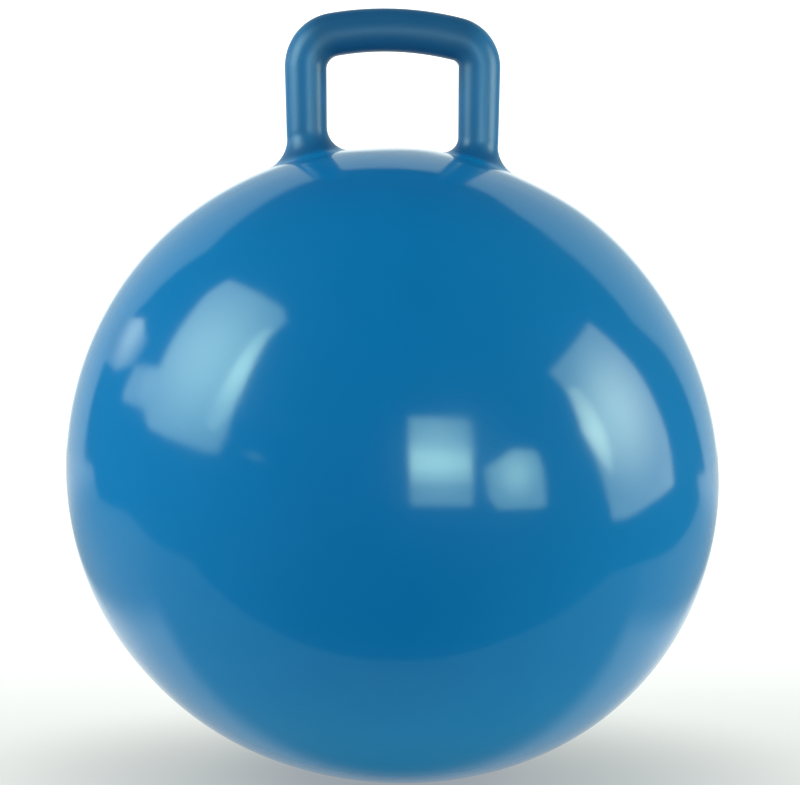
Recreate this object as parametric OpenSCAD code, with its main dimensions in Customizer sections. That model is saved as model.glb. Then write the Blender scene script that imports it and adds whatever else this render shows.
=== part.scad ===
// Hopper ball: a blown-up ball of soft plastic with a hollow loop handle moulded on its crown.
// It stands on its own flattened base. The origin is the middle of the patch that it rests on,
// +Z is up, and the loop of the handle lies in the XZ plane.

/* [Ball] */
// Diameter of the blown-up ball at its widest
ball_d = 500; // [420:1:650]
// How far the centre of the sagging shoulder's arc lies out from the axis
sag_inset = 22; // [12:1:36]
// How much larger the radius of the flattened underside is than the ball's own
sag_gain = 11; // [6:0.5:24]
// Radius of the flat patch that the ball rests on
patch_r = 27; // [18:0.5:45]
// Wall of the soft skin
skin_t = 1.1; // [0.8:0.1:2]
// Wall of the thick crown, at the pole
crown_t = 6; // [4:0.5:9]
// Radius at which the crown has thinned to the skin's own wall
crown_r = 112; // [100:1:150]

/* [Handle] */
// Diameter of the tube along the grip bar
grip_d = 32; // [27:0.5:38]
// Diameter of the tube where a leg reaches the ball
leg_foot_d = 30.2; // [26:0.2:36]
// Distance between the axes of the two legs
leg_spacing = 133; // [115:1:150]
// Height of the bar's top above the ball's pole
handle_h = 106; // [90:1:130]
// Radius of the tube's centreline round each corner
corner_r = 23; // [21:0.5:30]
// Radius of the tube's centreline along the arched bar
arch_r = 230; // [150:1:500]
// Wall of the hollow tube
tube_wall = 3.5; // [2.5:0.1:5]
// Radius of the fillet where a leg flows into the ball
foot_fillet = 14; // [8:0.5:18]

/* [Valve] */
// Diameter of the seat's neck in the crown
seat_d = 28; // [24:0.5:34]
// Diameter of the seat's flange under the crown
flange_d = 40; // [36:0.5:50]
// Thickness of that flange
flange_t = 2.5; // [1.5:0.1:4]
// Length of the seat from its face to its lower end
seat_l = 15; // [12:0.5:20]
// How far the seat's face lies below the edge of its hole
seat_sink = 0.4; // [0.2:0.1:1]
// Diameter of the plug's head
head_d = 17; // [13:0.5:20]
// Thickness of the plug's head
head_t = 1.8; // [1.2:0.1:3]
// Diameter of the plug's shank
shank_d = 9; // [6:0.1:11]
// Length of the shank under the head, without its tapered tip
shank_l = 12; // [8:0.5:16]
// Length of the shank's tapered tip
tip_l = 5; // [3:0.5:8]
// Radial play of the shank in its bore
shank_play = 0.05; // [0.02:0.01:0.1]
// Radial play round the head in its recess
head_play = 0.4; // [0.3:0.1:0.8]

/* [Hidden] */
$fn = 144;

// How far the underside's arc lies inside the shoulder's where they meet, so that they cross cleanly
seam_drop = 0.01;
// Thickness left at the rim of a leg's fillet, so that it doesn't end in a feather edge
rim_t = 0.4;
// How far a corner stands proud of the tubes that run into it, so that they never just graze
corner_ledge = 0.05;
// How far the arch and the legs reach into the corners
corner_bite = 0.5;
// How far a fillet's top stands proud of its leg
fillet_ledge = 0.2;
// How far a fillet's ring reaches into the wall of its leg
fillet_bite = 2;
// How deep a fillet's ring is sunk in the ball before the ball is cut away from it
fillet_sink = 3;
// Flat width of the crown's underside beyond the seat's flange
land_margin = 1;
// Diameter at the end of the plug's tapered tip
tip_d = 6;
// Chamfer round the top of the plug's head
head_chamfer = 0.5;
// Diameter of the dimple in the plug's head
dimple_d = 5;
// Depth of that dimple
dimple_depth = 0.6;
// Overrun of every cut past the face that it opens
overrun = 1;
// Facets round a fillet, and along its arc
fillet_turns = 48;
fillet_steps = 6;

BALL_BLUE = [0.05, 0.44, 0.69];
VALVE_BLUE = [0.04, 0.33, 0.55];
PLUG_WHITE = [0.88, 0.89, 0.90];

ball_r = ball_d / 2;
shoulder_r = ball_r - sag_inset;
under_r = ball_r + sag_gain;
// The three arcs of the profile run into each other smoothly: ball to shoulder at the equator,
// and shoulder to underside by the line through their two centres
centre_gap = under_r - shoulder_r + seam_drop;
centre_drop = sqrt(pow(centre_gap, 2) - pow(sag_inset, 2));
under_z = sqrt(pow(under_r, 2) - pow(patch_r, 2));
equator_z = under_z - centre_drop;
pole_z = equator_z + ball_r;

inner_r = ball_r - skin_t;
crown_edge_z = equator_z + sqrt(pow(inner_r, 2) - pow(crown_r, 2));
crown_rise = pole_z - crown_t - crown_edge_z;
crown_arc_r = (pow(crown_r, 2) + pow(crown_rise, 2)) / (2 * crown_rise);
crown_arc_z = crown_edge_z + crown_rise - crown_arc_r;

grip_r = grip_d / 2;
leg_foot_r = leg_foot_d / 2;
leg_x = leg_spacing / 2;
bar_z = pole_z + handle_h - grip_r;
arch_z = bar_z - arch_r;
corner_x = leg_x - corner_r;
arch_half = asin(corner_x / (arch_r - corner_r));
arch_end = arch_half + asin(corner_bite / arch_r);
corner_z = arch_z + (arch_r - corner_r) * cos(arch_half);
leg_base_z = ball_top_z(leg_x + leg_foot_r + foot_fillet);
fillet_r = leg_r_at(ball_top_z(leg_x - leg_foot_r) + foot_fillet) + fillet_ledge;
rim_angle = acos(1 - rim_t / foot_fillet);

seat_r = seat_d / 2;
flange_r = flange_d / 2;
seat_face_z = ball_top_z(seat_r) - seat_sink;
land_z = crown_arc_z + sqrt(pow(crown_arc_r, 2) - pow(flange_r + land_margin, 2));
head_r = head_d / 2;
shank_r = shank_d / 2;
tip_r = tip_d / 2;
head_seat_z = seat_face_z - head_t;

// Height of the ball's surface over a point this far from its axis
function ball_top_z(away) = equator_z + sqrt(pow(ball_r, 2) - pow(away, 2));

// Radius of a leg at a height: it thickens evenly from the ball to the corner
function leg_r_at(z) = leg_foot_r + (grip_r - leg_foot_r) * (z - leg_base_z) / (corner_z - leg_base_z);

// A vector turned part of the way from one direction to another, both of length one
function turned(from, to, share) =
  let (whole = acos(from * to))
  (from * sin((1 - share) * whole) + to * sin(share * whole)) / sin(whole);

// Half outline of the ball, every wall moved in by the same inset. Its three sectors are drawn
// from the shoulder's centre, so that they share the edges along which they meet.
module ball_outline(inset) {
  joint = [sag_inset, -centre_drop] / centre_gap * ball_d;
  intersection() {
    translate([0, inset]) square([ball_d, ball_d]);
    translate([sag_inset, equator_z]) union() {
      intersection() {
        translate([-sag_inset, 0]) circle(r = ball_r - inset);
        translate([-sag_inset, 0]) square([ball_d, ball_d]);
      }
      intersection() {
        circle(r = shoulder_r - inset);
        translate([0, -ball_d]) square([ball_d, ball_d]);
      }
      intersection() {
        translate([-sag_inset, centre_drop]) circle(r = under_r - inset);
        polygon([[0, 0], [-sag_inset, 0], [-sag_inset, -ball_d], joint]);
      }
    }
  }
}

// Half outline of the air space: a flatter arc leaves the crown thick, with a flat land for the seat
module air_outline() {
  intersection() {
    ball_outline(skin_t);
    translate([0, crown_arc_z]) circle(r = crown_arc_r);
    square([ball_d, land_z]);
  }
}

// Solid of the ball's outside, which the handle's feet are cut to
module ball_form() {
  rotate_extrude() ball_outline(0);
}

module ball_skin() {
  color(BALL_BLUE) difference() {
    rotate_extrude() difference() {
      ball_outline(0);
      air_outline();
      translate([0, equator_z]) square([seat_r, ball_d]);
    }
    for (side = [-1, 1])
      translate([side * leg_x, 0, equator_z]) cylinder(r = leg_foot_r - tube_wall, h = ball_r);
  }
}

// One solid round bar along the whole loop, its radius less by the inset. The arch and the legs
// reach a little way into the corners, which stand proud of them by a hair.
module loop_bar(inset) {
  grip = grip_r - inset;
  translate([0, 0, arch_z]) rotate([90, 0, 0])
    rotate_extrude(angle = 2 * arch_end, start = 90 - arch_end) translate([arch_r, 0]) circle(r = grip);
  for (side = [0, 1]) mirror([side, 0, 0]) {
    translate([corner_x, 0, corner_z]) rotate([90, 0, 0])
      rotate_extrude(angle = 90 - arch_half) translate([corner_r, 0]) circle(r = grip + corner_ledge);
    translate([leg_x, 0, leg_base_z])
      cylinder(r1 = leg_foot_r - inset, r2 = grip, h = corner_z + corner_bite - leg_base_z);
  }
}

// Section of a leg's fillet at one direction round it: the arc of a ball that rolls
// between the leg and the ball's surface, closed inside the leg's wall and below that surface
function fillet_section(turn) =
  let (
    out = [cos(turn), sin(turn), 0],
    axis = [leg_x, 0, 0],
    plan = axis + out * (fillet_r + foot_fillet),
    middle = [0, 0, equator_z],
    roll_z = sqrt(pow(ball_r + foot_fillet, 2) - plan * plan),
    roll = plan + [0, 0, equator_z + roll_z],
    down = (middle - roll) / (ball_r + foot_fillet),
    last = 1 - rim_angle / acos(-out * down),
    arc = [for (i = [0:fillet_steps]) roll + foot_fillet * turned(-out, down, last * i / fillet_steps)],
    rim = arc[fillet_steps],
    sunk = rim - (rim - middle) / norm(rim - middle) * (rim_t + fillet_sink),
    inside = axis + out * (fillet_r - fillet_bite)
  )
  concat(arc, [
    sunk,
    [inside.x, inside.y, ball_top_z(norm(inside)) - fillet_sink],
    [inside.x, inside.y, arc[0].z]
  ]);

// Ring that carries a leg smoothly into the ball's surface
module leg_fillet() {
  sections = [for (i = [0:fillet_turns - 1]) fillet_section(360 * i / fillet_turns)];
  count = len(sections[0]);
  quads = [for (i = [0:fillet_turns - 1], j = [0:count - 1])
    let (k = (i + 1) % fillet_turns, l = (j + 1) % count)
    [i * count + j, k * count + j, k * count + l, i * count + l]];
  polyhedron(
    points = [for (section = sections) each section],
    faces = [for (q = quads) each [[q[0], q[1], q[2]], [q[0], q[2], q[3]]]]
  );
}

module handle() {
  color(BALL_BLUE) difference() {
    union() {
      loop_bar(0);
      for (side = [0, 1]) mirror([side, 0, 0]) leg_fillet();
    }
    loop_bar(tube_wall);
    ball_form();
  }
}

// Thick collar moulded in at the pole, which the plug is pushed into
module valve_seat() {
  color(VALVE_BLUE) rotate_extrude() difference() {
    union() {
      translate([0, seat_face_z - seat_l]) square([seat_r, seat_l]);
      translate([0, land_z - flange_t]) square([flange_r, flange_t]);
    }
    translate([0, seat_face_z - seat_l - overrun]) square([shank_r + shank_play, seat_l + 2 * overrun]);
    translate([0, head_seat_z]) square([head_r + head_play, head_t + overrun]);
  }
}

// Push-in stopper, its head flush with the face of the seat
module valve_plug() {
  color(PLUG_WHITE) rotate_extrude() polygon([
    [0, head_seat_z - shank_l - tip_l],
    [tip_r, head_seat_z - shank_l - tip_l],
    [shank_r, head_seat_z - shank_l],
    [shank_r, head_seat_z],
    [head_r, head_seat_z],
    [head_r, seat_face_z - head_chamfer],
    [head_r - head_chamfer, seat_face_z],
    [dimple_d / 2, seat_face_z],
    [dimple_d / 2, seat_face_z - dimple_depth],
    [0, seat_face_z - dimple_depth]
  ]);
}

ball_skin();
handle();
valve_seat();
valve_plug();
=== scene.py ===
"""Looks of a blue hopper ball: a blown-up ball of glossy vinyl with a hollow loop handle on its crown.

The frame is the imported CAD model, in metres, +Z up, the origin in the middle of the patch it rests on.
"""
import math

import bpy
from mathutils import Matrix, Vector, noise


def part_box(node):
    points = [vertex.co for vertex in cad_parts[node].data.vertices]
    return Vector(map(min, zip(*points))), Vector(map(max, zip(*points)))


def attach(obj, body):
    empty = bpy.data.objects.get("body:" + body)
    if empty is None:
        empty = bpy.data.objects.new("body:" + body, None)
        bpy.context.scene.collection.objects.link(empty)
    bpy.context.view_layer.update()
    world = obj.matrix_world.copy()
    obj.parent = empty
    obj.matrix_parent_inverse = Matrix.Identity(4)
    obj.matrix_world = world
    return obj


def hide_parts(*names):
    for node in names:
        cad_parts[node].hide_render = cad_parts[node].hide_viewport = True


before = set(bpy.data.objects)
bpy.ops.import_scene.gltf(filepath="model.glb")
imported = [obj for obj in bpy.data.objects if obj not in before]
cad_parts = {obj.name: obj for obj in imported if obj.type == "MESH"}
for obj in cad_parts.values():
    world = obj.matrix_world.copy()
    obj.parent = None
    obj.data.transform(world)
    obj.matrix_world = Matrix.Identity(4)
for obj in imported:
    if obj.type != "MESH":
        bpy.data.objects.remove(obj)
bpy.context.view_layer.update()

# Sizes, in metres

# The ball, whose lower half is a little fuller than the CAD solid's
ball_low, ball_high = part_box("ball_skin")
BALL_R = (ball_high.x - ball_low.x) / 2
SAG_INSET = 0.017
SHOULDER_R = BALL_R - SAG_INSET
UNDER_R = 0.279
PATCH_R = 0.027
CENTRE_GAP = UNDER_R - SHOULDER_R
CENTRE_DROP = math.sqrt(CENTRE_GAP ** 2 - SAG_INSET ** 2)
UNDER_Z = math.sqrt(UNDER_R ** 2 - PATCH_R ** 2)
EQUATOR_Z = UNDER_Z - CENTRE_DROP
POLE_Z = EQUATOR_Z + BALL_R
SKIN_T = 0.0011
CROWN_T = 0.006
CROWN_FLAT_R = 0.030
CROWN_R = 0.112
SEAT_R = 0.014

# The handle, with the small differences between its left (-1) and right (1) sides
GRIP_R = 0.016
BAR_R = 0.0165
FOOT_R = 0.0151
LEG_X = 0.0665
FOOT_X = 0.0655
FOOT_DROP = 0.004
FOOT_Z = POLE_Z - FOOT_DROP
CORNER_R = {-1: 0.0265, 1: 0.0215}
ARCH_R = 0.230
HANDLE_H = 0.106
BAR_Z = POLE_Z + HANDLE_H - BAR_R
ARCH_Z = BAR_Z - ARCH_R

# The photographed ball leans: its left side sits a little higher than its right
LEAN = 0.0275
LEVEL_R = (0.020, 0.055)
LEVEL_Z = (0.492, 0.520)

# Camera

CAM_LENS_PX = 2858.0
CAM_DISTANCE = 2.2
CAM_ELEVATION = math.radians(3.0)
CAM_AIM = Vector((0.0057, 0.0, 0.297))
IMAGE_W, IMAGE_H = 800, 785
SENSOR = 36.0


def camera_axes():
    """Where the camera is, and its right, up and forward directions."""
    ahead = Vector((0, math.cos(CAM_ELEVATION), -math.sin(CAM_ELEVATION)))
    right = Vector((1, 0, 0))
    return CAM_AIM - ahead * CAM_DISTANCE, right, right.cross(ahead), ahead


def make_camera():
    place, right, up, ahead = camera_axes()
    data = bpy.data.cameras.new("camera")
    data.sensor_width = SENSOR
    data.lens = CAM_LENS_PX / IMAGE_W * SENSOR
    cam = bpy.data.objects.new("camera", data)
    cam.matrix_world = Matrix((
        (right.x, up.x, -ahead.x, place.x),
        (right.y, up.y, -ahead.y, place.y),
        (right.z, up.z, -ahead.z, place.z),
        (0, 0, 0, 1),
    ))
    bpy.context.scene.collection.objects.link(cam)
    bpy.context.scene.camera = cam


# Helpers

def smooth_step(low, high, value):
    share = min(max((value - low) / (high - low), 0.0), 1.0)
    return share * share * (3 - 2 * share)


def lean_down(x, y, z):
    """How far a point is let down by the lean; the crown's middle stays level round the valve."""
    low = 1 - smooth_step(LEVEL_Z[0], LEVEL_Z[1], z)
    near = 1 - smooth_step(LEVEL_R[0], LEVEL_R[1], math.hypot(x, y))
    return LEAN * x * (1 - low * near)


def mesh_object(name, verts, faces, material):
    mesh = bpy.data.meshes.new(name)
    mesh.from_pydata([tuple(v) for v in verts], [], faces)
    mesh.validate()
    mesh.polygons.foreach_set("use_smooth", [True] * len(mesh.polygons))
    mesh.materials.append(material)
    thing = bpy.data.objects.new(name, mesh)
    bpy.context.scene.collection.objects.link(thing)
    return thing


def flat_object(name, corners, material):
    """An object of one flat face."""
    return mesh_object(name, corners, [tuple(range(len(corners)))], material)


def ring_faces(first, second, count, flip=False):
    """Quads between two rings of vertices, given by their first index."""
    quads = []
    for i in range(count):
        j = (i + 1) % count
        quad = (first + i, first + j, second + j, second + i)
        quads.append(tuple(reversed(quad)) if flip else quad)
    return quads


# Materials

def new_material(name):
    mat = bpy.data.materials.new(name)
    mat.use_nodes = True
    nodes = mat.node_tree.nodes
    nodes.clear()
    out = nodes.new("ShaderNodeOutputMaterial")
    bsdf = nodes.new("ShaderNodeBsdfPrincipled")
    mat.node_tree.links.new(bsdf.outputs[0], out.inputs["Surface"])
    return mat, nodes, mat.node_tree.links, bsdf


def add_noise(nodes, links, coords, scale, detail=2.0, rough=0.5):
    tex = nodes.new("ShaderNodeTexNoise")
    tex.inputs["Scale"].default_value = scale
    tex.inputs["Detail"].default_value = detail
    tex.inputs["Roughness"].default_value = rough
    links.new(coords, tex.inputs["Vector"])
    return tex.outputs["Fac"]


def add_ramp(nodes, links, fac, stops):
    """A ramp through (place, colour or value) stops."""
    ramp = nodes.new("ShaderNodeValToRGB")
    marks = ramp.color_ramp.elements
    while len(marks) < len(stops):
        marks.new(0.5)
    for mark, (place, value) in zip(marks, stops):
        mark.position = place
        mark.color = (*value, 1) if hasattr(value, "__len__") else (value, value, value, 1)
    links.new(fac, ramp.inputs[0])
    return ramp.outputs[0]


def add_bump(nodes, links, height, strength, distance):
    bump = nodes.new("ShaderNodeBump")
    bump.inputs["Strength"].default_value = strength
    bump.inputs["Distance"].default_value = distance
    links.new(height, bump.inputs["Height"])
    return bump.outputs["Normal"]


# Sockets of a Mix node that mixes two colours
MIX_FIRST, MIX_SECOND, MIX_RESULT = 6, 7, 2


def add_mix(nodes, links, share, first, second):
    """A colour between two, by a share of the second."""
    mix = nodes.new("ShaderNodeMix")
    mix.data_type = "RGBA"
    links.new(share, mix.inputs["Factor"])
    links.new(first, mix.inputs[MIX_FIRST])
    links.new(second, mix.inputs[MIX_SECOND])
    return mix.outputs[MIX_RESULT]


def add_range(nodes, links, value, start, end):
    """A value mapped smoothly from one pair of numbers to another."""
    node = nodes.new("ShaderNodeMapRange")
    node.interpolation_type = "SMOOTHSTEP"
    for name, number in zip(("From Min", "From Max", "To Min", "To Max"), (*start, *end)):
        node.inputs[name].default_value = number
    links.new(value, node.inputs["Value"])
    return node.outputs[0]


def add_math(nodes, links, operation, first, second=None, third=None):
    node = nodes.new("ShaderNodeMath")
    node.operation = operation
    for socket, value in zip(node.inputs, (first, second, third)):
        if isinstance(value, (int, float)):
            socket.default_value = value
        elif value is not None:
            links.new(value, socket)
    return node.outputs[0]


def add_vector(nodes, links, operation, first, second, output="Vector"):
    """A vector sum; its second value is a socket or three plain numbers."""
    node = nodes.new("ShaderNodeVectorMath")
    node.operation = operation
    links.new(first, node.inputs[0])
    if isinstance(second, tuple):
        node.inputs[1].default_value = second
    else:
        links.new(second, node.inputs[1])
    return node.outputs[output]


def object_coords(nodes):
    return nodes.new("ShaderNodeTexCoord").outputs["Object"]


def distance_out(nodes, links, coords, middle):
    """Distance from a height on the ball's axis, with the lean taken out."""
    split = nodes.new("ShaderNodeSeparateXYZ")
    links.new(coords, split.inputs[0])
    lifted = add_vector(nodes, links, "DOT_PRODUCT", coords, (LEAN, 0, 1), "Value")
    level = nodes.new("ShaderNodeCombineXYZ")
    for axis, value in zip("XYZ", (split.outputs["X"], split.outputs["Y"], lifted)):
        links.new(value, level.inputs[axis])
    return add_vector(nodes, links, "DISTANCE", level.outputs[0], (0, 0, middle), "Value")


# Each noise's scale, detail and roughness, and where on it the ramp between two values starts and ends
CLOUD, CLOUD_SPAN = (7.0, 3.0, 0.55), (0.30, 0.70)
SMEAR, SMEAR_SPAN = (16.0, 4.0, 0.60), (0.45, 0.80)
PEEL_DEPTH = 0.0005
GLOSS_TINT = (0.62, 1.0, 0.88, 1.0)
SATIN_TINT = (0.66, 1.0, 1.0, 1.0)
VINYL_IOR = 1.5
HAZE_ROUGH = 0.34
HAZE_IOR = 1.45


def vinyl(name, look, peel, peel_scale, haze=0.0, tint=SATIN_TINT, ior=VINYL_IOR, inner=()):
    """Moulded vinyl: a slightly cloudy colour, gloss broken by faint handling marks, and a fine skin.

    A look is a darker and a lighter colour, and the roughness where glossy and where scuffed. Each inner
    zone is a height on the axis, the distances from it over which the zone ends, and the look inside it.
    """
    mat, nodes, links, bsdf = new_material(name)
    coords = object_coords(nodes)
    cloud = add_noise(nodes, links, coords, *CLOUD)
    smear = add_noise(nodes, links, coords, *SMEAR)

    def add_look(dark, light, gloss, scuffed):
        colour = add_ramp(nodes, links, cloud, list(zip(CLOUD_SPAN, (dark, light))))
        return colour, add_ramp(nodes, links, smear, list(zip(SMEAR_SPAN, (gloss, scuffed))))

    colour, rough = add_look(*look)
    for middle, fade, zone_look in inner:
        outside = add_range(nodes, links, distance_out(nodes, links, coords, middle), fade, (0.0, 1.0))
        zone_colour, zone_rough = add_look(*zone_look)
        colour = add_mix(nodes, links, outside, zone_colour, colour)
        rough = add_mix(nodes, links, outside, zone_rough, rough)
    links.new(colour, bsdf.inputs["Base Color"])
    links.new(rough, bsdf.inputs["Roughness"])
    fine = add_noise(nodes, links, coords, peel_scale)
    links.new(add_bump(nodes, links, fine, peel, PEEL_DEPTH), bsdf.inputs["Normal"])
    bsdf.inputs["IOR"].default_value = ior
    bsdf.inputs["Specular Tint"].default_value = tint
    bsdf.inputs["Coat Weight"].default_value = haze
    bsdf.inputs["Coat Roughness"].default_value = HAZE_ROUGH
    bsdf.inputs["Coat IOR"].default_value = HAZE_IOR
    return mat


# The ball

BALL_TURNS = 256
BALL_ANGLES = [2 * math.pi * i / BALL_TURNS for i in range(BALL_TURNS)]
BALL_STEP = 0.0045
INSIDE_STRIDE = 3
# Height and scale of each of the skin's faint waves, and where they set in round the handle's feet
WAVES = ((0.00012, 11.0), (0.00004, 27.0))
WAVE_CLEAR = (0.06, 0.10)
# Where the photographed ball is a little fuller: direction from its centre, height and reach
SWELLS = (((0.60, 0.0, 0.80), 0.0011, 0.50), ((-0.92, 0.0, -0.39), 0.0012, 0.42))
SWELL_CLEAR = (0.098, 0.150)
# The rounded edge of the valve's hole, and how far above the crown's underside the hole's wall ends
HOLE_EDGE = 0.0004
HOLE_LIP_SHARE = 0.3
HOLE_LIP = HOLE_EDGE * HOLE_LIP_SHARE
HOLE_END_GAP = 0.0003
HOLE_DEPTH = CROWN_T - HOLE_END_GAP
# Radius of each ring across the flat patch, as a share of the ring before it
PATCH_SHARES = (0.6, 0.25)


def arc_points(cx, cz, radius, start, end, step):
    """Points on an arc in the half plane, angles up from the horizontal, with the outward normal."""
    count = max(2, round(abs(end - start) * radius / step))
    made = []
    for i in range(count + 1):
        angle = start + (end - start) * i / count
        out, up = math.cos(angle), math.sin(angle)
        made.append((cx + radius * out, cz + radius * up, out, up))
    return made


def ball_profile():
    """Outside of the ball from the edge of the valve's hole to the flat patch: radius, height, normal."""
    top = math.acos((SEAT_R + HOLE_EDGE) / BALL_R)
    joint = -math.atan2(CENTRE_DROP, SAG_INSET)
    low = -math.acos(PATCH_R / UNDER_R)
    rows = arc_points(0, EQUATOR_Z, BALL_R, top, 0, BALL_STEP)
    rows += arc_points(SAG_INSET, EQUATOR_Z, SHOULDER_R, 0, joint, BALL_STEP)[1:]
    rows += arc_points(0, UNDER_Z, UNDER_R, joint, low, BALL_STEP)[1:]
    return rows


def wave_at(point):
    return sum(height * noise.noise(point * scale) for height, scale in WAVES)


def swell_at(normal):
    return sum(height * (1 - smooth_step(0, reach, (normal - Vector(middle)).length))
               for middle, height, reach in SWELLS)


def ball_surface(away, z, turn, out, up):
    """A point of the ball's outside after its waves, swells and lean, kept above the floor."""
    point = Vector((away * math.cos(turn), away * math.sin(turn), z))
    normal = Vector((out * math.cos(turn), out * math.sin(turn), up))
    wave_share = smooth_step(*WAVE_CLEAR, away) if z > EQUATOR_Z else 1.0
    swell_share = smooth_step(*SWELL_CLEAR, away)
    point += normal * (wave_at(point) * wave_share + swell_at(normal) * swell_share)
    point.z = max(point.z - lean_down(*point), 0.0)
    return point, normal


def skin_thickness(away, z):
    if z < EQUATOR_Z:
        return SKIN_T
    return SKIN_T + (CROWN_T - SKIN_T) * (1 - smooth_step(CROWN_FLAT_R, CROWN_R, away))


def level_ring(away, z):
    return [Vector((away * math.cos(turn), away * math.sin(turn), z)) for turn in BALL_ANGLES]


def outer_rings(profile):
    """Rings of the outside, from the wall of the valve's hole over its edge and down to the flat patch."""
    edge_z = profile[0][1]
    rings = [level_ring(SEAT_R, edge_z - HOLE_DEPTH),
             level_ring(SEAT_R, edge_z - HOLE_EDGE),
             level_ring(SEAT_R + HOLE_LIP, edge_z - HOLE_LIP)]
    for away, z, out, up in profile:
        rings.append([ball_surface(away, z, turn, out, up)[0] for turn in BALL_ANGLES])
    for share in PATCH_SHARES:
        rings.append([Vector((p.x * share, p.y * share, 0)) for p in rings[-1]])
    return rings


def inner_rings(profile):
    """Rings of the inside, from the patch back up to the hole."""
    rings = []
    for away, z, out, up in reversed(profile[1::INSIDE_STRIDE]):
        ring = []
        for turn in BALL_ANGLES:
            point, normal = ball_surface(away, z, turn, out, up)
            point -= normal * skin_thickness(away, z)
            point.z = max(point.z, SKIN_T)
            ring.append(point)
        rings.append(ring)
    return rings


def make_ball(material):
    """The skin as one closed shell: down its outside, across the patch, and up its inside to the hole."""
    profile, count = ball_profile(), BALL_TURNS
    verts, faces, starts = [], [], []

    def add_rings(rings):
        for k, ring in enumerate(rings):
            starts.append(len(verts))
            verts.extend(ring)
            if k:
                faces.extend(ring_faces(starts[-2], starts[-1], count, flip=True))

    add_rings(outer_rings(profile))
    low = len(verts)
    verts.append((0, 0, 0))
    faces.extend([(starts[-1] + i, low, starts[-1] + (i + 1) % count) for i in range(count)])
    high = len(verts)
    verts.append((0, 0, SKIN_T))
    faces.extend([(high, high + 1 + i, high + 1 + (i + 1) % count) for i in range(count)])
    add_rings(inner_rings(profile))
    faces.extend(ring_faces(starts[-1], starts[0], count, flip=True))
    return mesh_object("ball", verts, faces, material)


# The handle

TUBE_TURNS = 96
FILLET_STEPS = 12
FILLET_IN = {-1: 0.0165, 1: 0.0120}
FILLET_OUT = {-1: 0.0260, 1: 0.0235}
FILLET_GAP = 0.0002
SKIRT_L = 0.0014
SKIRT_SINK = 0.00016
ROOT_SINK = 0.004
LEG_STEPS = 24
CORNER_STEPS = 22
ARCH_STEPS = 30
# Share of the bar, from either end, over which the tube swells to its full size
BAR_SWELL_SHARE = 0.3


def corner_middle(side):
    """Centre of a corner's bend, whose circle touches the arch and the leg, and the angle it starts at."""
    radius = CORNER_R[side]
    x = LEG_X - radius
    half = math.asin(x / (ARCH_R - radius))
    return side * x, ARCH_Z + (ARCH_R - radius) * math.cos(half), half


def bar_path():
    """Centreline of the bar from the left leg's top to the right's: place, heading, tube radius."""
    left_x, left_z, left_half = corner_middle(-1)
    right_x, right_z, right_half = corner_middle(1)
    turns = [(left_x, left_z, CORNER_R[-1], math.pi, math.pi / 2 + left_half, CORNER_STEPS),
             (0.0, ARCH_Z, ARCH_R, math.pi / 2 + left_half, math.pi / 2 - right_half, ARCH_STEPS),
             (right_x, right_z, CORNER_R[1], math.pi / 2 - right_half, 0.0, CORNER_STEPS)]
    path = []
    for x, z, radius, start, end, steps in turns:
        for i in range(1 if path else 0, steps + 1):
            angle = start + (end - start) * i / steps
            share = (math.pi - angle) / math.pi
            tube = GRIP_R + (BAR_R - GRIP_R) * smooth_step(0, BAR_SWELL_SHARE, min(share, 1 - share))
            path.append((x + radius * math.cos(angle), z + radius * math.sin(angle),
                         angle - math.pi / 2, tube))
    return path


def fillet_radius(side, turn):
    """Radius of a foot's fillet by the direction round the leg, from its inner side to its outer."""
    inward = (1 - side * math.cos(turn)) / 2
    return FILLET_OUT[side] + (FILLET_IN[side] - FILLET_OUT[side]) * inward


def fillet_arc(side, turn):
    """Points of the fillet at one direction round a leg, from the leg down to the ball."""
    out = Vector((math.cos(turn), math.sin(turn), 0))
    axis = Vector((side * FOOT_X, 0, 0))
    radius = fillet_radius(side, turn)
    plan = axis + out * (FOOT_R + FILLET_GAP + radius)
    middle = Vector((0, 0, EQUATOR_Z))
    roll = plan + Vector((0, 0, EQUATOR_Z + math.sqrt((BALL_R + radius) ** 2 - plan.length_squared)))
    down = (middle - roll).normalized()
    whole = math.acos(max(-1, min(1, -out.dot(down))))
    points = []
    for i in range(FILLET_STEPS + 1):
        share = i / FILLET_STEPS
        way = (-out * math.sin((1 - share) * whole) + down * math.sin(share * whole)) / math.sin(whole)
        points.append(roll + way * radius)
    # a hidden skirt runs on under the ball's surface, so that no edge shows at the fillet's end
    along = (out - down * out.dot(down)).normalized()
    points.append(points[-1] + along * SKIRT_L + down * SKIRT_SINK)
    return points


def leg_rings(side):
    """Rings of one leg from its foot up: the fillet, then a blend from its uneven top to level."""
    turns = [2 * math.pi * i / TUBE_TURNS for i in range(TUBE_TURNS)]
    arcs = [fillet_arc(side, turn) for turn in turns]
    made = [[arc[k] for arc in arcs] for k in range(FILLET_STEPS + 1, -1, -1)]
    top, top_z = made[-1], corner_middle(side)[1]
    for k in range(1, LEG_STEPS + 1):
        share = k / LEG_STEPS
        ring = []
        for start, turn in zip(top, turns):
            z = start.z + (top_z - start.z) * share
            rise = (z - FOOT_Z) / (top_z - FOOT_Z)
            radius = FOOT_R + FILLET_GAP * (1 - share) + (GRIP_R - FOOT_R) * rise
            axis_x = side * (FOOT_X + (LEG_X - FOOT_X) * rise)
            ring.append(Vector((axis_x + radius * math.cos(turn), radius * math.sin(turn), z)))
        made.append(ring)
    return made


def bar_ring(x, z, heading, radius):
    across = Vector((math.sin(heading), 0, -math.cos(heading))) * radius
    turns = [2 * math.pi * i / TUBE_TURNS for i in range(TUBE_TURNS)]
    return [Vector((x, radius * math.sin(turn), z)) + across * math.cos(turn) for turn in turns]


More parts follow.
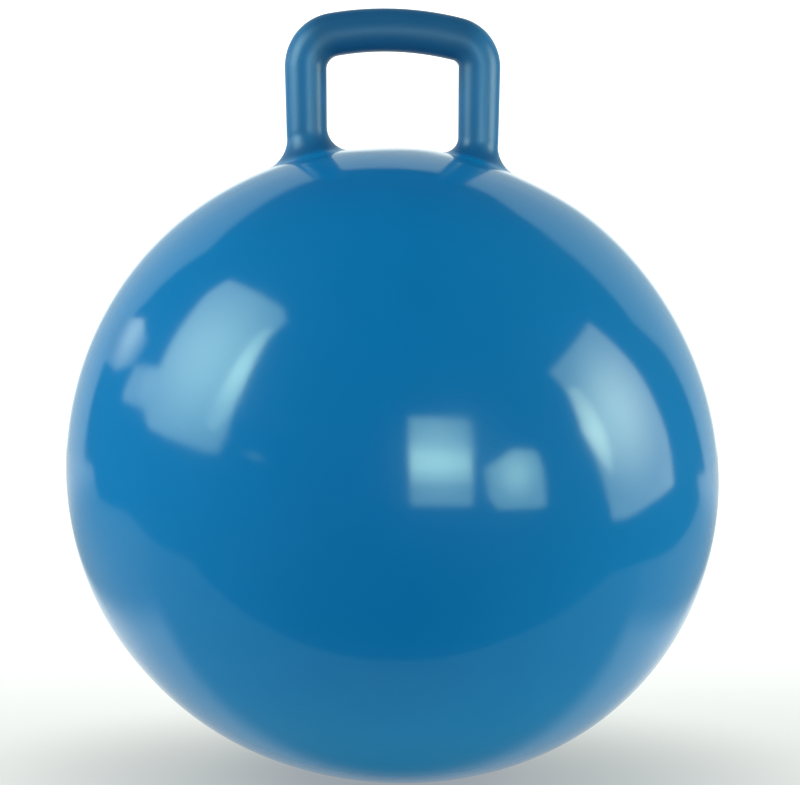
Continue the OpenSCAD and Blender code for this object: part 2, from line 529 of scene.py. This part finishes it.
def make_handle(material):
    count = TUBE_TURNS
    rings = leg_rings(-1) + [bar_ring(*place) for place in bar_path()[1:-1]]
    # the right leg's rings run the other way round, so that they follow on from the bar
    rings += [[ring[(count // 2 - i) % count] for i in range(count)] for ring in reversed(leg_rings(1))]
    verts, faces = [], []
    for k, ring in enumerate(rings):
        for p in ring:
            verts.append(Vector((p.x, p.y, p.z - lean_down(p.x, p.y, p.z))))
        if k:
            faces.extend(ring_faces((k - 1) * count, k * count, count))
    for k, flip in ((0, True), (len(rings) - 1, False)):
        tip = len(verts)
        verts.append(sum(verts[k * count:(k + 1) * count], Vector()) / count - Vector((0, 0, ROOT_SINK)))
        for i in range(count):
            face = (k * count + i, k * count + (i + 1) % count, tip)
            faces.append(tuple(reversed(face)) if flip else face)
    return mesh_object("handle_loop", verts, faces, material)


# Stage

WALL_Y = 4.0
FLOOR_Z = -0.0002
FLOOR_OUTLINE = (
    (-4.3, 3.0), (-1.60, 0.80), (-1.30, 0.15), (-0.714, -0.16), (-0.557, -0.273), (0.18, -0.273),
    (0.37, -0.248), (0.545, -0.211), (0.67, -0.078), (0.811, 0.168), (1.744, 1.433), (4.25, 3.5),
    (4.25, 4.0), (-4.3, 4.0))
WALL_OUTLINE = (
    (-4.3, 0.0), (3.58, 0.0), (3.93, 0.55), (4.27, 1.23), (4.66, 2.08), (5.38, 2.87), (6.0, 3.75),
    (5.59, 4.65), (4.84, 5.28), (4.46, 5.57), (3.97, 5.7), (3.4, 5.67), (2.87, 5.61), (1.92, 4.94),
    (0.88, 4.5), (0.26, 4.8), (-1.25, 4.6), (-2.7, 5.3), (-4.9, 5.9), (-4.9, 3.3), (-4.3, 1.7))
# Brightness of the room where it is seen or mirrored, and the matt light that comes from each side of it
WORLD_SEEN = (0.04, 0.04, 0.04)
WORLD_FILL = (
    ((0, -1, 0), (0.02, 0.12, 0.20)),
    ((-1, 0, 0), (1.15, 1.66, 1.61)),
    ((1, 0, 0), (1.10, 1.82, 1.64)),
)
PAPER_ROUGH = 0.9
FLOOR_PAPER = (0.29, 0.28, 0.285)
FLOOR_FILL = (0.90, 1.05, 0.79)
# The floor's glow sets in behind this front edge, rises with depth, and is dimmed near the object as a
# painted shadow
FRONT_Y = (-0.105, -0.050)
DEPTH_Y, DEPTH_GLOW = (0.0, 1.2), (0.62, 0.92)
PAINTED_SHADOW_R, PAINTED_SHADOW_GLOW = (0.11, 0.40), (0.50, 1.0)
# Half width of the pool of light, which widens with depth, and the glow outside it
POOL_X, POOL_WIDENING = (0.32, 0.46), 0.14
OUTSIDE_Y, OUTSIDE_GLOW = (0.5, 2.4), (0.15, 0.60)
WALL_PAPER = (0.43, 0.40, 0.41)
WALL_FILL = (0.70, 0.60, 0.15)
WALL_MIDDLE = (0, WALL_Y, 0.3)
WALL_R, WALL_GLOW = (1.1, 1.7), (1.0, 0.30)


def seen_or_mirrored(nodes, links):
    """One for camera, glossy and transmission rays, zero for the rest."""
    path = nodes.new("ShaderNodeLightPath")
    total = path.outputs["Is Camera Ray"]
    for name in ("Is Glossy Ray", "Is Transmission Ray"):
        total = add_math(nodes, links, "MAXIMUM", total, path.outputs[name])
    return total


def seen_and_fill(nodes, links, seen, fill):
    """One colour where a surface is seen or mirrored, and another for the matt light that it gives."""
    mix = nodes.new("ShaderNodeMix")
    mix.data_type = "RGBA"
    links.new(seen_or_mirrored(nodes, links), mix.inputs["Factor"])
    for socket, value in ((mix.inputs[MIX_FIRST], fill), (mix.inputs[MIX_SECOND], seen)):
        if isinstance(value, tuple):
            socket.default_value = (*value, 1)
        else:
            links.new(value, socket)
    return mix.outputs[MIX_RESULT]


def stage_material(name, albedo, seen_glow, fill):
    """Matt paper that also glows a little."""
    mat, nodes, links, bsdf = new_material(name)
    bsdf.inputs["Base Color"].default_value = (*albedo, 1)
    bsdf.inputs["Roughness"].default_value = PAPER_ROUGH
    bsdf.inputs["Specular IOR Level"].default_value = 0.0
    bsdf.inputs["Emission Strength"].default_value = 1.0
    glow = seen_and_fill(nodes, links, seen_glow(nodes, links), fill)
    links.new(glow, bsdf.inputs["Emission Color"])
    return mat


def distance_from(nodes, links, place):
    return add_vector(nodes, links, "DISTANCE", object_coords(nodes), tuple(place), "Value")


def floor_glow(nodes, links):
    """A painted pool of light on the paper behind the object, dimmed where the object stands as a painted
    shadow, and softer at its sides.
    """
    split = nodes.new("ShaderNodeSeparateXYZ")
    links.new(object_coords(nodes), split.inputs[0])
    depth, side = split.outputs["Y"], add_math(nodes, links, "ABSOLUTE", split.outputs["X"])
    front = add_range(nodes, links, depth, FRONT_Y, (0.0, 1.0))
    rise = add_range(nodes, links, depth, DEPTH_Y, DEPTH_GLOW)
    # painted shadow: the glow is dimmed round where the object stands
    near = add_range(nodes, links, distance_from(nodes, links, (0, 0, 0)), PAINTED_SHADOW_R, PAINTED_SHADOW_GLOW)
    half_width = add_math(nodes, links, "MULTIPLY_ADD", depth, -POOL_WIDENING, side)
    loss = add_range(nodes, links, depth, OUTSIDE_Y, tuple(1 - glow for glow in OUTSIDE_GLOW))
    outside = add_range(nodes, links, half_width, POOL_X, (0.0, -1.0))
    pool = add_math(nodes, links, "MULTIPLY_ADD", outside, loss, 1.0)
    total = front
    for share in (rise, near, pool):
        total = add_math(nodes, links, "MULTIPLY", total, share)
    return total


def wall_glow(nodes, links):
    """The wall is brightest behind the object and falls off to its sides."""
    return add_range(nodes, links, distance_from(nodes, links, WALL_MIDDLE), WALL_R, WALL_GLOW)


def make_world():
    """An even dark room to look at, which gives a soft matt light from its sides."""
    world = bpy.data.worlds.new("studio")
    bpy.context.scene.world = world
    world.use_nodes = True
    nodes, links = world.node_tree.nodes, world.node_tree.links
    way = nodes.new("ShaderNodeTexCoord").outputs["Generated"]
    parts = []
    for axis, colour in WORLD_FILL:
        facing = add_vector(nodes, links, "DOT_PRODUCT", way, axis, "Value")
        toward = add_math(nodes, links, "MAXIMUM", facing, 0.0)
        parts.append(add_vector(nodes, links, "MULTIPLY", toward, colour))
    fill = parts[0]
    for part in parts[1:]:
        fill = add_vector(nodes, links, "ADD", fill, part)
    links.new(seen_and_fill(nodes, links, WORLD_SEEN, fill), nodes["Background"].inputs[0])


def make_stage():
    floor_paper = stage_material("floor_paper", FLOOR_PAPER, floor_glow, FLOOR_FILL)
    floor = flat_object("stage_floor", [(x, y, FLOOR_Z) for x, y in FLOOR_OUTLINE], floor_paper)
    wall_paper = stage_material("wall_paper", WALL_PAPER, wall_glow, WALL_FILL)
    wall = flat_object("stage_wall", [(x, WALL_Y, z) for x, z in WALL_OUTLINE], wall_paper)
    make_world()


# Lamps

# Corners of each soft light as the photographed ball mirrors it, in pixels of the photograph
LEFT_PX = (
    (233, 282), (288, 311), (290, 324), (272, 341), (246, 389), (228, 438), (219, 457), (204, 455),
    (149, 432), (145, 412), (161, 373), (192, 319), (210, 297))
LEFT_EDGE_PX = (
    (278, 330), (263, 334), (247, 355), (230, 383), (208, 425), (215, 436), (231, 418), (246, 389),
    (264, 352))
WING_PX = ((162, 373), (145, 414), (124, 405), (126, 395), (138, 370))
PATCH_PX = ((123, 322), (146, 324), (150, 348), (135, 371), (118, 375), (107, 366), (110, 344))
RIGHT_PX = (
    (592, 319), (551, 368), (569, 390), (583, 430), (597, 456), (607, 492), (612, 516), (626, 514),
    (651, 497), (674, 478), (673, 464), (668, 430), (656, 396), (636, 361), (614, 337))
RIGHT_EDGE_PX = (
    (569, 385), (581, 385), (593, 402), (605, 424), (612, 446), (613, 470), (603, 458), (585, 428))
WINDOW_PX = ((410, 416), (473, 417), (473, 504), (410, 505))
SMALL_PX = ((486, 466), (515, 446), (537, 447), (543, 461), (546, 503), (498, 507), (489, 494))
GLINT_PX = ((240, 454), (262, 457), (268, 465), (256, 464))
LEFT_TINT, RIGHT_TINT = (1.0, 1.0, 0.86), (1.0, 0.90, 0.74)

# Bands that make the middle window brightest across its sill: top and bottom, distance and strength
WINDOW_BANDS = ((440, 481, 1.38, 6.0), (446, 475, 1.36, 7.2), (452, 469, 1.34, 8.7))
BAND_LEFT, BAND_RIGHT, BAND_TILT = 411, 473, 1
BAND_SPOT, BAND_SPREAD, BAND_FADE = (434, 461), 60, 0.66


def window_band(top, bottom, distance, strength):
    corners = ((BAND_LEFT, top), (BAND_RIGHT, top + BAND_TILT),
               (BAND_RIGHT, bottom), (BAND_LEFT, bottom + BAND_TILT))
    return (f"window_band_{top}", corners, BAND_SPOT, BAND_SPREAD,
            distance, strength, strength * BAND_FADE, LEFT_TINT, False)


# Each light's name, corners, brightest spot, how many pixels from there it is weakest, how far off it is
# in metres, its strength at the spot and where it is weakest, its tint, and whether it gives matt light
LAMPS = (
    ("left", LEFT_PX, (214, 364), 98, 1.30, 5.8, 2.3, LEFT_TINT, True),
    ("left_edge", LEFT_EDGE_PX, (240, 372), 52, 1.25, 9.6, 5.0, LEFT_TINT, True),
    ("wing", WING_PX, (153, 388), 30, 1.35, 3.1, 1.8, LEFT_TINT, True),
    ("patch", PATCH_PX, (137, 338), 34, 1.50, 2.7, 0.6, LEFT_TINT, True),
    ("right", RIGHT_PX, (616, 408), 90, 1.40, 6.8, 2.3, RIGHT_TINT, True),
    ("right_edge", RIGHT_EDGE_PX, (597, 428), 46, 1.35, 10.3, 5.8, RIGHT_TINT, True),
    ("window", WINDOW_PX, (438, 452), 55, 1.40, 5.3, 2.5, LEFT_TINT, False),
    ("small", SMALL_PX, (517, 470), 34, 1.40, 6.2, 2.7, LEFT_TINT, False),
    ("glint", GLINT_PX, (254, 460), 14, 1.40, 1.0, 0.5, LEFT_TINT, False),
    *(window_band(*band) for band in WINDOW_BANDS),
)


def mirrored_ray(px, py):
    """Where the camera's ray through a pixel meets the ball, and the direction it is thrown in."""
    place, right, up, ahead = camera_axes()
    way = ahead + right * ((px - IMAGE_W / 2) / CAM_LENS_PX) - up * ((py - IMAGE_H / 2) / CAM_LENS_PX)
    way.normalize()
    centre = Vector((0, 0, EQUATOR_Z))
    toward = place - centre
    along = toward.dot(way)
    gap = max(along * along - toward.length_squared + BALL_R ** 2, 0)
    point = place + way * (-along - math.sqrt(gap))
    normal = (point - centre).normalized()
    return point, way.reflect(normal)


def glow_material(name, tint, hot, reach, strongest, weakest):
    """Light that is strongest at one spot and falls off smoothly over its reach."""
    mat = bpy.data.materials.new("glow_" + name)
    mat.use_nodes = True
    nodes, links = mat.node_tree.nodes, mat.node_tree.links
    nodes.clear()
    glow = nodes.new("ShaderNodeEmission")
    glow.inputs["Color"].default_value = (*tint, 1)
    gap = distance_from(nodes, links, hot)
    links.new(add_range(nodes, links, gap, (0, reach), (strongest, weakest)), glow.inputs["Strength"])
    links.new(glow.outputs[0], nodes.new("ShaderNodeOutputMaterial").inputs["Surface"])
    return mat


def make_lamp(name, corners, spot, spread, distance, strongest, weakest, tint, matt):
    """A soft light: a flat face that the photographed corners mirror, brightest at one spot."""
    rays = [mirrored_ray(px, py) for px, py in (*corners, spot, (spot[0], spot[1] + spread))]
    middle = sum((ray for _, ray in rays[:-1]), Vector()).normalized()
    centre = Vector((0, 0, EQUATOR_Z))
    *verts, hot, rim = [place + ray * ((distance - (place - centre).dot(middle)) / ray.dot(middle))
                        for place, ray in rays]
    glow = glow_material(name, tint, hot, (rim - hot).length, strongest, weakest)
    lamp = flat_object("stage_lamp_" + name, verts, glow)
    lamp.visible_camera = False
    lamp.visible_shadow = False
    lamp.visible_diffuse = matt


# Looks of the object

# Each look is its darker and lighter colour, and its roughness where glossy and where scuffed
BALL_LOOK = ((0.0014, 0.1415, 0.368), (0.0018, 0.149, 0.389), 0.10, 0.16)
CROWN_SHADE_LOOK = ((0.0014, 0.124, 0.342), (0.0018, 0.131, 0.362), 0.10, 0.16)
LEG_LOOK = ((0.007, 0.112, 0.288), (0.009, 0.123, 0.314), 0.36, 0.46)
BAR_LOOK = ((0.005, 0.070, 0.190), (0.007, 0.078, 0.207), 0.38, 0.48)
# painted shade: the darker blue in the crook of each leg's foot
CROOK_SHADE_LOOK = ((0.003, 0.080, 0.228), (0.004, 0.088, 0.248), 0.34, 0.44)
FOOT_LOOK = (BALL_LOOK[0], BALL_LOOK[1], 0.22, 0.30)
SEAT_LOOK = ((0.004, 0.130, 0.350), (0.005, 0.145, 0.380), 0.20, 0.30)
PLUG_LOOK = ((0.70, 0.72, 0.74), (0.76, 0.78, 0.80), 0.35, 0.50)

# The crown is painted a deeper blue as shade under the handle, the bar is a darker blue, and a leg is
# painted darkest in the crook of its foot as shade, below which it turns into the ball's own blue
CROWN_SHADE_ZONE = (POLE_Z, (0.10, 0.21), CROWN_SHADE_LOOK)
BAR_ZONE = (BAR_Z, (0.056, 0.074), BAR_LOOK)
# painted shade in the crook of each leg's foot
CROOK_SHADE_ZONE = (EQUATOR_Z, (0.2555, 0.266), CROOK_SHADE_LOOK)
FOOT_ZONE = (EQUATOR_Z, (0.2500, 0.2540), FOOT_LOOK)

# Strength and scale of each fine skin, and what else sets a material apart
BALL_FINISH = {"peel": 0.03, "peel_scale": 900.0, "haze": 0.07, "tint": GLOSS_TINT, "ior": 1.6}
HANDLE_FINISH = {"peel": 0.10, "peel_scale": 700.0, "ior": 1.55}
SEAT_FINISH = {"peel": 0.08, "peel_scale": 900.0}
PLUG_FINISH = {"peel": 0.08, "peel_scale": 1200.0}

# Build

scene = bpy.context.scene
scene.view_settings.view_transform = "Standard"
make_camera()
make_stage()
for lamp in LAMPS:
    make_lamp(*lamp)

ball_vinyl = vinyl("ball_vinyl", BALL_LOOK, inner=(CROWN_SHADE_ZONE,), **BALL_FINISH)
handle_vinyl = vinyl("handle_vinyl", LEG_LOOK, inner=(BAR_ZONE, CROOK_SHADE_ZONE, FOOT_ZONE), **HANDLE_FINISH)
seat_vinyl = vinyl("seat_vinyl", SEAT_LOOK, **SEAT_FINISH)
plug_plastic = vinyl("plug_plastic", PLUG_LOOK, **PLUG_FINISH)

ball = make_ball(ball_vinyl)
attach(ball, "ball")
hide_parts("ball_skin")

handle = make_handle(handle_vinyl)
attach(handle, "ball")
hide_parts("handle")

for node, material in (("valve_seat", seat_vinyl), ("valve_plug", plug_plastic)):
    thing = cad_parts[node]
    thing.data.materials.clear()
    thing.data.materials.append(material)
